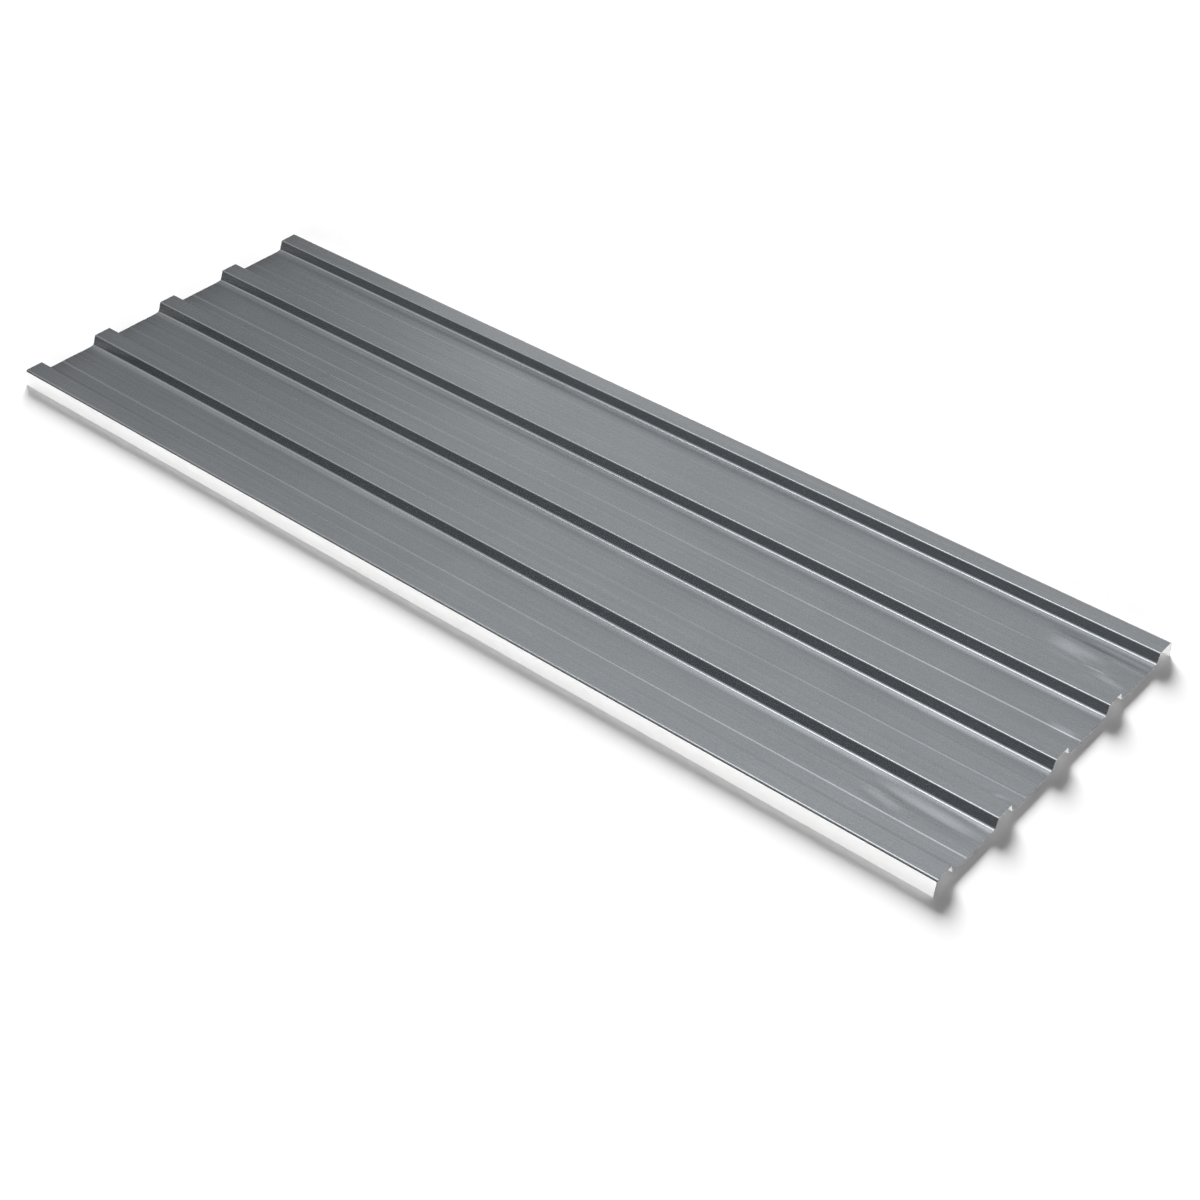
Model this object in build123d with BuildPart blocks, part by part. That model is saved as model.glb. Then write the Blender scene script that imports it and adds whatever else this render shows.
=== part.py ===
"""A box-profile roofing sheet, roll-formed as one piece from coated steel strip.

X runs along the sheet, Y across it and Z is up. The origin is on the floor under the middle
of the sheet. The sheet lies with its ribs upwards and stands on its two hemmed outer flanges.
The section is drawn as the middle line of the steel, from one hem to the other, and all sizes
of the section are taken on that line. The steel lies half its thickness to each side of it.
"""
import os
from math import cos, radians, sin

from build123d import *

# Stock
sheet_length = 1290.0
steel_thickness = 0.4

# Ribs: flat crowns between two leaning webs; the rib height is from the webs' feet to the crown
rib_count = 5
rib_pitch = 104.8
crown_width = 22.8
rib_height = 11.6
web_run = 4.5
crown_bend_radius = 1.5
foot_bend_radius = 3.0

# Pans: the strips between the ribs. Along each web foot a shoulder slopes down to the pan's flat,
# and one shallow raised band is rolled into the middle of it.
shoulder_width = 7.0
shoulder_rise = 0.95
shoulder_bend_radius = 40.0
band_width = 21.8
band_rise = 0.3
band_slope = 1.5
band_bend_radius = 2.0

# Outer flanges: they hang lower than the pans and end in a hem folded outwards and up
sheet_height = 19.5
flange_lean = 8.5
hem_gap = 0.6
hem_reveal = 1.6

# Heights of the middle line over the floor
crown_height = sheet_height - steel_thickness / 2
foot_height = crown_height - rib_height
pan_height = foot_height - shoulder_rise
hem_radius = (hem_gap + steel_thickness) / 2
hem_centre_height = hem_radius + steel_thickness / 2

# Length of a flange along its slope, from the crown corner to the start of the hem's bend
lean_across = sin(radians(flange_lean))
lean_down = cos(radians(flange_lean))
flange_length = (crown_height - hem_centre_height + hem_radius * lean_across) / lean_down


def rib_centre(index):
    """Place of a rib across the sheet."""
    return (index - (rib_count - 1) / 2) * rib_pitch


def pan_points(centre):
    """The pan between two ribs, with its shoulders and its raised band, from left to right."""
    foot = rib_pitch / 2 - crown_width / 2 - web_run
    band_foot = band_width / 2 + band_slope
    return [
        (centre - foot, foot_height),
        (centre - foot + shoulder_width, pan_height),
        (centre - band_foot, pan_height),
        (centre - band_width / 2, pan_height + band_rise),
        (centre + band_width / 2, pan_height + band_rise),
        (centre + band_foot, pan_height),
        (centre + foot - shoulder_width, pan_height),
        (centre + foot, foot_height),
    ]


def flange_foot(side):
    """Where the flange on one side meets the hem's bend; side is -1 for left, 1 for right."""
    corner = rib_centre(rib_count - 1) + crown_width / 2
    return (side * (corner + flange_length * lean_across), crown_height - flange_length * lean_down)


# The middle line's corners from flange to flange, and the bend radius at each
corners = [flange_foot(-1)]
radii = []
for rib in range(rib_count):
    centre = rib_centre(rib)
    corners += [(centre - crown_width / 2, crown_height), (centre + crown_width / 2, crown_height)]
    radii += [crown_bend_radius] * 2
    if rib < rib_count - 1:
        corners += pan_points(centre + rib_pitch / 2)
        radii += [foot_bend_radius, shoulder_bend_radius]
        radii += [band_bend_radius] * 4
        radii += [shoulder_bend_radius, foot_bend_radius]
corners.append(flange_foot(1))

with BuildPart() as roofing_sheet:
    with BuildSketch(Plane.YZ.offset(-sheet_length / 2)) as section:
        with BuildLine() as middle_line:
            FilletPolyline(*corners, radius=radii)
            for side in (-1, 1):
                down = (side * lean_across, -lean_down)
                bend = JernArc(flange_foot(side), down, hem_radius, side * 180)
                Line(bend @ 1, bend @ 1 + (bend % 1) * (flange_length - hem_reveal))
            offset(amount=steel_thickness / 2)
        make_face()
    extrude(amount=sheet_length)

roofing_sheet.part.label = "roofing_sheet"

os.makedirs("parts", exist_ok=True)
export_step(roofing_sheet.part, "parts/roofing_sheet.step")

box = roofing_sheet.part.bounding_box()
print("size", box.size, "lowest", box.min.Z, "volume", roofing_sheet.part.volume)
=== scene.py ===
from math import atan2, cos, hypot, pi, radians, sin, tan

import bpy
import numpy as np
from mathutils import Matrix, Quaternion, Vector


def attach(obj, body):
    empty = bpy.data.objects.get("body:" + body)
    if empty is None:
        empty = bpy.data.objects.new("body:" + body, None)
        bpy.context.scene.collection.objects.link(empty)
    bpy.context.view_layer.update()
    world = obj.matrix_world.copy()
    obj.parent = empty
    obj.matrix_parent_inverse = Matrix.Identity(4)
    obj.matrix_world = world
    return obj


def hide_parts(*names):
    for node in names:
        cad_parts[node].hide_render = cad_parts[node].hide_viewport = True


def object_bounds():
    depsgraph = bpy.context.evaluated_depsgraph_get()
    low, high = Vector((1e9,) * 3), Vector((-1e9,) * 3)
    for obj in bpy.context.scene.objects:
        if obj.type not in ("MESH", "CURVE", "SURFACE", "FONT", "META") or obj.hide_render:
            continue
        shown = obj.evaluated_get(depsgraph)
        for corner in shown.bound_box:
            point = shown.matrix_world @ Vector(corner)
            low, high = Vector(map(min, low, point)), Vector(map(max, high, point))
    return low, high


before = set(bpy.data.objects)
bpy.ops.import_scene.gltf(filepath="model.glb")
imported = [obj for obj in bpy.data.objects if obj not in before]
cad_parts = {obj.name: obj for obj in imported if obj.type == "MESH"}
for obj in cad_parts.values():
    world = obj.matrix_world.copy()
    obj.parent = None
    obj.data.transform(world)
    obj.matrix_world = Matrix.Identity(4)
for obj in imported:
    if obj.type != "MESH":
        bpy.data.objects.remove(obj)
cad_low, cad_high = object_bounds()

MM = 0.001

# Stock, in metres. The length and the height come from the frame.
sheet_length = cad_high.x - cad_low.x
sheet_height = cad_high.z - cad_low.z
steel_thickness = 0.4 * MM

# Ribs and the pans between them
rib_count = 5
rib_pitch = 104.8 * MM
crown_width = 22.8 * MM
rib_height = 11.6 * MM
web_run = 4.5 * MM
crown_bend_radius = 1.5 * MM
foot_bend_radius = 3.0 * MM

# The pans: a shoulder slopes down from each web foot, and a shallow band is rolled into the middle
shoulder_width = 7.0 * MM
shoulder_rise = 0.95 * MM
shoulder_bend_radius = 40.0 * MM
band_width = 21.8 * MM
band_rise = 0.3 * MM
band_slope = 1.5 * MM
band_bend_radius = 2.0 * MM

# Outer flanges and their hems
flange_lean = radians(8.5)
hem_gap = 0.6 * MM
hem_reveal = 1.6 * MM

# Steps of the mesh
bend_steps = 7
hem_bend_steps = 12
band_bend_steps = 3
shoulder_bend_steps = 8
shoulder_steps = 1
pan_steps = 6
band_steps = 8
crown_steps = 4
web_steps = 2
flange_steps = 4
holding_width = 0.35 * MM
close_stations_from = 0.70
wide_station_count = 40
close_station_count = 56
sharp_edge_from = radians(40)

# Place of each finish in the sheet's list of materials
coated_side, reverse_side, cut_edge = 0, 1, 2

# Sockets of a Mix node that hold its two colours and its result
mix_from, mix_to, mix_result = 6, 7, 2


def flat(length, steps):
    """A flat stretch as (length, turn, steps).

    A narrow step at each end keeps the shading of the bend beside it off the flat.
    """
    edge = (holding_width, 0.0, 1)
    return [edge, (length - 2 * holding_width, 0.0, steps), edge]


def bend(radius, turn, steps):
    """A bend as (length, turn, steps)."""
    return [(radius * abs(turn), turn, steps)]


def section_stretches():
    """The steel from the left hem's free edge to the right one, as a list of flats and bends.

    A flat's length is the distance between its two corners, less radius times tan(turn / 2) for
    the bend at each of them.
    """
    web_turn = atan2(rib_height, web_run)
    band_turn = atan2(band_rise, band_slope)
    flange_turn = pi / 2 - flange_lean
    crown_cut = crown_bend_radius * tan(web_turn / 2)
    shoulder_turn = atan2(shoulder_rise, shoulder_width)
    foot_turn = web_turn - shoulder_turn
    foot_cut = foot_bend_radius * tan(foot_turn / 2)
    shoulder_cut = shoulder_bend_radius * tan(shoulder_turn / 2)
    band_cut = band_bend_radius * tan(band_turn / 2)
    flange_cut = crown_bend_radius * tan(flange_turn / 2)

    hem_radius = (hem_gap + steel_thickness) / 2
    drop = sheet_height - steel_thickness - hem_radius + hem_radius * sin(flange_lean)
    flange_length = drop / cos(flange_lean)
    web_length = hypot(web_run, rib_height) - crown_cut - foot_cut
    pan_foot = rib_pitch / 2 - crown_width / 2 - web_run
    shoulder_length = hypot(shoulder_width, shoulder_rise) - foot_cut - shoulder_cut
    pan_flat = pan_foot - shoulder_width - band_width / 2 - band_slope - shoulder_cut - band_cut
    slope = hypot(band_slope, band_rise) - 2 * band_cut

    crown_bend = bend(crown_bend_radius, -web_turn, bend_steps)
    foot_bend = bend(foot_bend_radius, foot_turn, bend_steps)
    shoulder = flat(shoulder_length, shoulder_steps)
    shoulder_bend = bend(shoulder_bend_radius, shoulder_turn, shoulder_bend_steps)
    web = flat(web_length, web_steps)
    band_edge = [(slope, 0.0, 1)]
    up = bend(band_bend_radius, band_turn, band_bend_steps)
    down = bend(band_bend_radius, -band_turn, band_bend_steps)
    pan = (
        crown_bend + web + foot_bend + shoulder + shoulder_bend
        + flat(pan_flat, pan_steps) + up + band_edge + down
        + flat(band_width - 2 * band_cut, band_steps)
        + down + band_edge + up + flat(pan_flat, pan_steps)
        + shoulder_bend + shoulder + foot_bend + web + crown_bend
    )
    inner_crown = flat(crown_width - 2 * crown_cut, crown_steps)
    outer_crown = flat(crown_width - crown_cut - flange_cut, crown_steps)
    hem = bend(hem_radius, pi, hem_bend_steps)
    leg = flat(flange_length - hem_reveal, flange_steps)
    flange = flat(flange_length - flange_cut, flange_steps)
    flange_bend = bend(crown_bend_radius, -flange_turn, bend_steps)

    left = leg + hem + flange + flange_bend + outer_crown
    right = outer_crown + flange_bend + flange + hem + leg
    middle = pan + (inner_crown + pan) * (rib_count - 2)
    return np.array(left + middle + right)


def middle_line():
    """The middle line of the section, with y, z and the unit normal at each point.

    Each stretch is cut into equal steps. The heading is the sum of the turns so far. A step goes
    along its mean heading by the chord of its arc, so each point lies on the true line. The line
    is then put with its ends level about y = 0 and its crowns under the top of the CAD box.
    """
    length, turn, steps = section_stretches().T
    steps = steps.astype(int)
    step_length = np.repeat(length / steps, steps)
    step_turn = np.repeat(turn / steps, steps)
    start_heading = -pi / 2 - flange_lean
    heading = start_heading + np.concatenate([[0.0], np.cumsum(step_turn)])
    chord = step_length * np.sinc(step_turn / (2 * pi))
    mean = heading[:-1] + step_turn / 2
    y = np.concatenate([[0.0], np.cumsum(chord * np.cos(mean))])
    z = np.concatenate([[0.0], np.cumsum(chord * np.sin(mean))])
    y -= (y[0] + y[-1]) / 2
    z += sheet_height - steel_thickness / 2 - z.max()
    return y, z, -np.sin(heading), np.cos(heading)


# Waves of the thin steel in the pans, two for each pan from near to far: their length along the
# sheet, their height, and their start in radians
wave_lengths = np.array([[410, 236], [365, 198], [452, 221], [338, 187]]) * MM
wave_heights = np.array([[0.11, 0.05], [0.09, 0.06], [0.12, 0.05], [0.10, 0.06]]) * MM
wave_starts = np.array([[0.4, 2.1], [1.9, 0.3], [3.0, 4.4], [5.2, 1.1]])

# Buckles near the right end, as thin steel gets in handling: x, y, half length and half width in
# millimetres, turn in degrees, and rise in millimetres
buckles = [
    (570, 159, 34, 14, -4, 1.80),
    (612, 176, 38, 5.5, -2, -0.72),
    (614, 139, 33, 9, -12, 1.05),
    (632, 121, 14, 3, 10, -0.35),
    (623, 44.5, 18, 7, -3, 0.68),
    (622, -80, 10, 4, 25, 0.45),
    (582, -136, 54, 11, -3, 0.90),
    (542, -153, 22, 9, -10, 0.55),
    (622, -190, 7, 4, 0, 0.50),
]

# Share of the band's rise that each pan keeps at the band's near edge, the share that all keep at
# its far edge, and the height of a fine bead along the far edge of each
near_edge_kept = np.array([0.85, 0.5, 0.9, 0.6])
far_edge_kept = 0.4
far_bead_heights = np.array([0.07, 0.08, 0.05, 0.05]) * MM
bead_half_width = 0.9 * MM


def pan_relief(x, y):
    """How far the steel stands off the true section, along its normal, at x along and y across.

    In each pan it is a sum of two sine waves along the sheet. A buckle adds a slope that rises
    across it and falls off to all sides: rise times v times exp(-u^4 - v^4), where u runs along
    the buckle over its half length and v across it over its half width. Both fade as
    (1 - w^6)^2 towards the web feet, with w the distance from the pan's middle over the pan's
    half width, and the ribs stay straight. The band is lowered by the share of its rise that the
    pan has lost, which goes evenly from the near edge's share to the far edge's. Along the middle
    of its far slope runs a bead that falls off as exp(-t^2), t being the distance from it over
    its half width.
    """
    pan_half = rib_pitch / 2 - crown_width / 2 - web_run
    pan = np.clip(np.floor(y / rib_pitch + rib_count / 2 - 0.5), 0, rib_count - 2).astype(int)
    pan_middle = (pan - (rib_count - 2) / 2) * rib_pitch
    across = y - pan_middle
    from_middle = np.clip(abs(across) / pan_half, 0, 1)
    fade = (1 - from_middle ** 6) ** 2
    phase = 2 * pi * x[..., None] / wave_lengths[pan] + wave_starts[pan]
    height = (wave_heights[pan] * np.sin(phase)).sum(axis=-1)
    for at_x, at_y, half_length, half_width, turn, rise in buckles:
        dx, dy = x - at_x * MM, y - at_y * MM
        u = (dx * cos(radians(turn)) + dy * sin(radians(turn))) / (half_length * MM)
        v = (dy * cos(radians(turn)) - dx * sin(radians(turn))) / (half_width * MM)
        height = height + rise * MM * v * np.exp(-u ** 4 - v ** 4)
    band_foot = band_width / 2 + band_slope
    on_band = np.clip((band_foot - abs(across)) / band_slope, 0, 1)
    towards_far = np.clip(across / band_foot / 2 + 0.5, 0, 1)
    kept = near_edge_kept[pan] + (far_edge_kept - near_edge_kept[pan]) * towards_far
    from_bead = (across - (band_width + band_slope) / 2) / bead_half_width
    bead = far_bead_heights[pan] * np.exp(-from_bead ** 2)
    return fade * height + bead - band_rise * (1 - kept) * on_band


def stations():
    """Places along the sheet where the section stands.

    The steps are wide on the left and close near the right end, where the buckles are.
    """
    half = sheet_length / 2
    border = close_stations_from * half
    wide = np.linspace(-half, border, wide_station_count, endpoint=False)
    close = np.linspace(border, half, close_station_count)
    return np.concatenate([wide, close])


def roll_sheet(name):
    """The sheet as one closed shell: the section carried along x.

    A point is the middle line's point moved along its normal by the relief plus or minus half the
    thickness: plus for the coated top side, minus for the reverse. The two sides' points form one
    loop round the section, top side first and reverse side back, and the loop is joined from
    station to station. A row of four-sided faces between the two sides closes each end.
    """
    y, z, normal_y, normal_z = middle_line()
    x = stations()
    grid_x, grid_y = np.meshgrid(x, y, indexing="ij")
    relief = pan_relief(grid_x, grid_y)
    sides = []
    for half_thickness in (steel_thickness / 2, -steel_thickness / 2):
        away = relief + half_thickness
        sides.append(np.stack([grid_x, y + away * normal_y, z + away * normal_z], axis=-1))
    loop = np.concatenate([sides[0], sides[1][:, ::-1]], axis=1)
    rows, columns = loop.shape[:2]
    count = len(y)

    index = np.arange(rows * columns).reshape(rows, columns)
    here, beyond = index[:-1], index[1:]
    after = np.roll(index, -1, axis=1)
    walls = np.stack([here, after[:-1], after[1:], beyond], axis=-1).reshape(-1, 4)
    first, last = index[0], index[-1]
    top, bottom = np.arange(count - 1), columns - 1 - np.arange(count - 1)
    near_end = np.stack([first[top], first[bottom], first[bottom - 1], first[top + 1]], axis=-1)
    far_end = np.stack([last[top], last[top + 1], last[bottom - 1], last[bottom]], axis=-1)
    faces = np.concatenate([walls, near_end, far_end])[:, ::-1]

    wall_finish = np.full(columns, reverse_side)
    wall_finish[: count - 1] = coated_side
    wall_finish[[count - 1, columns - 1]] = cut_edge
    end_finish = np.full(2 * (count - 1), cut_edge)
    finish = np.concatenate([np.tile(wall_finish, rows - 1), end_finish])

    mesh = bpy.data.meshes.new(name)
    mesh.from_pydata(loop.reshape(-1, 3), [], faces)
    mesh.polygons.foreach_set("material_index", finish.astype(np.int32))
    mesh.polygons.foreach_set("use_smooth", np.ones(len(faces), bool))
    mesh.set_sharp_from_angle(angle=sharp_edge_from)
    mesh.update()
    sheet = bpy.data.objects.new(name, mesh)
    bpy.context.collection.objects.link(sheet)
    return sheet


def new_material(name):
    """A new material, with its nodes and its shader."""
    material = bpy.data.materials.new(name)
    material.use_nodes = True
    tree = material.node_tree
    return material, tree, tree.nodes["Principled BSDF"]


def node_makers(tree):
    """Two functions: one adds a node, the other a speckle on the piece's own coordinates."""
    place = tree.nodes.new("ShaderNodeTexCoord").outputs["Object"]

    def add(kind, inputs=None, **settings):
        node = tree.nodes.new(kind)
        for setting, value in settings.items():
            setattr(node, setting, value)
        for socket, value in (inputs or {}).items():
            if isinstance(value, bpy.types.NodeSocket):
                tree.links.new(value, node.inputs[socket])
            else:
                node.inputs[socket].default_value = value
        return node

    def speckle(scale, detail=2.0, stretch=(1, 1, 1)):
        mapped = add("ShaderNodeMapping", {"Vector": place, "Scale": stretch}).outputs["Vector"]
        noise = add("ShaderNodeTexNoise", {"Vector": mapped, "Scale": scale, "Detail": detail})
        return noise.outputs["Fac"]

    return add, speckle


def top_coat():
    """Satin metallic grey lacquer on the weather side.

    Its grey is scaled by the product of three tones: fine grain, wide mottle, and the long
    streaks that the rolls leave. The streaks also change its gloss a little.
    """
    lacquer_grey = (0.209, 0.221, 0.232)
    material, tree, shader = new_material("satin_grey_coat")
    add, speckle = node_makers(tree)
    grain = speckle(750, 3.0)
    mottle = speckle(11, 3.0)
    rolling = speckle(1.0, 3.0, stretch=(2.2, 300, 300))

    def tone(source, low, high):
        spread = {"Value": source, "From Min": 0.3, "From Max": 0.7, "To Min": low, "To Max": high}
        return add("ShaderNodeMapRange", spread).outputs["Result"]

    def product(one, other):
        return add("ShaderNodeMath", {0: one, 1: other}, operation="MULTIPLY").outputs[0]

    tones = product(tone(grain, 0.90, 1.10), tone(mottle, 0.97, 1.03))
    tones = product(tones, tone(rolling, 0.98, 1.02))
    grey = add("ShaderNodeVectorMath", {0: lacquer_grey, "Scale": tones}, operation="SCALE")
    tree.links.new(grey.outputs[0], shader.inputs["Base Color"])
    shader.inputs["Metallic"].default_value = 1.0
    tree.links.new(tone(rolling, 0.255, 0.285), shader.inputs["Roughness"])
    bump = add("ShaderNodeBump", {"Height": grain, "Strength": 0.05, "Distance": 0.00003})
    tree.links.new(bump.outputs[0], shader.inputs["Normal"])
    return material


def reverse_coat():
    """Off-white primer on the underside, which the hems show on the outside."""
    material, tree, shader = new_material("off_white_reverse_coat")
    add, speckle = node_makers(tree)
    cloud = speckle(9, 4.0)
    rolling = speckle(1.0, 3.0, stretch=(3, 420, 420))
    whites = {mix_from: (0.88, 0.88, 0.87, 1), mix_to: (0.93, 0.93, 0.93, 1)}
    fade = add("ShaderNodeMix", {"Factor": cloud, **whites}, data_type="RGBA")
    tree.links.new(fade.outputs[mix_result], shader.inputs["Base Color"])
    gloss = add("ShaderNodeMapRange", {"Value": rolling, "To Min": 0.40, "To Max": 0.55})
    tree.links.new(gloss.outputs["Result"], shader.inputs["Roughness"])
    bump = add("ShaderNodeBump", {"Height": speckle(900, 2.0), "Strength": 0.2, "Distance": 0.00003})
    tree.links.new(bump.outputs[0], shader.inputs["Normal"])
    return material


def sheared_steel():
    """Bare cut edge: bright steel with the shear's fine lines."""
    material, tree, shader = new_material("sheared_steel_edge")
    add, speckle = node_makers(tree)
    lines = speckle(1.0, 3.0, stretch=(1500, 500, 5000))
    steels = {mix_from: (0.48, 0.48, 0.47, 1), mix_to: (0.74, 0.74, 0.73, 1)}
    tint = add("ShaderNodeMix", {"Factor": lines, **steels}, data_type="RGBA")
    tree.links.new(tint.outputs[mix_result], shader.inputs["Base Color"])
    shader.inputs["Metallic"].default_value = 1.0
    gloss = add("ShaderNodeMapRange", {"Value": lines, "To Min": 0.3, "To Max": 0.5})
    tree.links.new(gloss.outputs["Result"], shader.inputs["Roughness"])
    return material


def studio_floor():
    """A plain pale floor under the sheet."""
    half = 30.0
    corners = [(-half, -half, 0), (half, -half, 0), (half, half, 0), (-half, half, 0)]
    mesh = bpy.data.meshes.new("floor")
    mesh.from_pydata(corners, [], [(0, 1, 2, 3)])
    floor = bpy.data.objects.new("floor", mesh)
    bpy.context.collection.objects.link(floor)
    material, tree, shader = new_material("pale_floor")
    add, speckle = node_makers(tree)
    pales = {mix_from: (0.96, 0.96, 0.96, 1), mix_to: (0.97, 0.97, 0.97, 1)}
    shade = add("ShaderNodeMix", {"Factor": speckle(3, 2.0), **pales}, data_type="RGBA")
    tree.links.new(shade.outputs[mix_result], shader.inputs["Base Color"])
    shader.inputs["Roughness"].default_value = 1.0
    shader.inputs["Specular IOR Level"].default_value = 0.0
    floor.data.materials.append(material)


def sun(name, towards, level, spread, in_gloss=True, in_matt=True):
    """A soft lamp far away.

    towards points at the lamp, level is its light on a face turned to it, over pi, and spread is
    how wide it looks, in degrees.
    """
    lamp = bpy.data.lights.new(name, "SUN")
    lamp.energy = level * pi
    lamp.angle = radians(spread)
    holder = bpy.data.objects.new(name, lamp)
    holder.rotation_mode = "QUATERNION"
    holder.rotation_quaternion = Vector(towards).to_track_quat("Z", "Y")
    holder.visible_glossy = in_gloss
    holder.visible_diffuse = in_matt
    bpy.context.collection.objects.link(holder)


def reflected_card(name, centre, facing, width, height, shade):
    """A card that only the gloss of the coat shows.

    Its face is turned along facing, and its width lies level.
    """
    face = Vector(facing).normalized()
    across = Vector((-face.y, face.x, 0)) if abs(face.z) < 1 else Vector((1, 0, 0))
    across = across.normalized() * width / 2
    upward = face.cross(across).normalized() * height / 2
    middle = Vector(centre)
    corners = [
        middle - across - upward,
        middle + across - upward,
        middle + across + upward,
        middle - across + upward,
    ]
    mesh = bpy.data.meshes.new(name)
    mesh.from_pydata(corners, [], [(0, 1, 2, 3)])
    card = bpy.data.objects.new(name, mesh)
    bpy.context.collection.objects.link(card)
    material, _, shader = new_material(name)
    shader.inputs["Base Color"].default_value = (0, 0, 0, 1)
    shader.inputs["Specular IOR Level"].default_value = 0.0
    shader.inputs["Emission Color"].default_value = (1, 1, 1, 1)
    shader.inputs["Emission Strength"].default_value = shade
    material.cycles.emission_sampling = "NONE"
    mesh.materials.append(material)
    card.visible_camera = False
    card.visible_diffuse = False
    card.visible_shadow = False


def studio_light():
    """Soft lamps behind, in front and overhead, cards for the gloss, and a white surround.

    The surround is dim for matt faces, and white where the camera or the gloss sees it.
    """
    surround_on_matt, surround_in_sight = 0.09, 1.0

    # Name, direction towards the lamp, level and spread
    sun("key_lamp", (-0.62, 0.60, 0.44), 1.93, 30, in_gloss=False)
    sun("front_lamp", (0.47, -0.88, 0.03), 1.30, 40, in_gloss=False)
    sun("overhead_lamp", (-0.33, 0.10, 0.94), 0.36, 16, in_matt=False)

    # Name, centre, direction that it faces, width, height and brightness, lengths in metres
    reflected_card("overhead_card", (0.4, -0.7, 5.0), (0, 0, -1), 5.2, 8.6, 2.2)
    reflected_card("side_card", (-5.1, -3.2, 5.0), (0, 0, -1), 5.8, 3.6, 1.48)
    reflected_card("left_card", (-4.41, 1.78, 1.55), (4.41, -1.78, -1.55), 3.6, 3.2, 0.50)
    reflected_card("rear_card", (-5.0, 7.15, 2.5), (5.0, -7.15, -2.5), 12.0, 4.4, 1.60)
    reflected_card("front_card", (0.0, -5.94, 0.84), (0, 1, -0.14), 14.0, 1.8, 0.22)
    reflected_card("end_card", (-0.72, -0.13, 0.035), (1, 0, 0), 0.95, 0.07, 0.25)

    world = bpy.data.worlds.new("surround")
    bpy.context.scene.world = world
    world.use_nodes = True
    tree = world.node_tree
    background = tree.nodes["Background"]
    background.inputs["Color"].default_value = (1, 1, 1, 1)
    path = tree.nodes.new("ShaderNodeLightPath")
    seen = path.outputs["Is Camera Ray"]
    for ray in ("Is Glossy Ray", "Is Transmission Ray"):
        either = tree.nodes.new("ShaderNodeMath")
        either.operation = "MAXIMUM"
        tree.links.new(seen, either.inputs[0])
        tree.links.new(path.outputs[ray], either.inputs[1])
        seen = either.outputs[0]
    strength = tree.nodes.new("ShaderNodeMapRange")
    strength.inputs["To Min"].default_value = surround_on_matt
    strength.inputs["To Max"].default_value = surround_in_sight
    tree.links.new(seen, strength.inputs["Value"])
    tree.links.new(strength.outputs["Result"], background.inputs["Strength"])


def camera():
    """The view from the right and in front, from above: the camera looks at aim from distance away."""
    aim = Vector((0.1417, -0.0911, 0.0))
    distance = 2.2465
    azimuth, elevation, roll = radians(38.979), radians(38.696), radians(1.218)
    back = Vector((sin(azimuth) * cos(elevation), -cos(azimuth) * cos(elevation), sin(elevation)))
    lens = bpy.data.cameras.new("camera")
    lens.lens = 63.586
    lens.sensor_width = 36.0
    holder = bpy.data.objects.new("camera", lens)
    holder.location = aim + distance * back
    holder.rotation_mode = "QUATERNION"
    holder.rotation_quaternion = (-back).to_track_quat("-Z", "Y") @ Quaternion((0, 0, 1), roll)
    bpy.context.collection.objects.link(holder)
    bpy.context.scene.camera = holder


camera()
studio_floor()
studio_light()

sheet = roll_sheet("coated_roofing_sheet")
for finish in (top_coat(), reverse_coat(), sheared_steel()):
    sheet.data.materials.append(finish)
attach(sheet, "root")
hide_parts("roofing_sheet")

bpy.context.scene.view_settings.view_transform = "Standard"
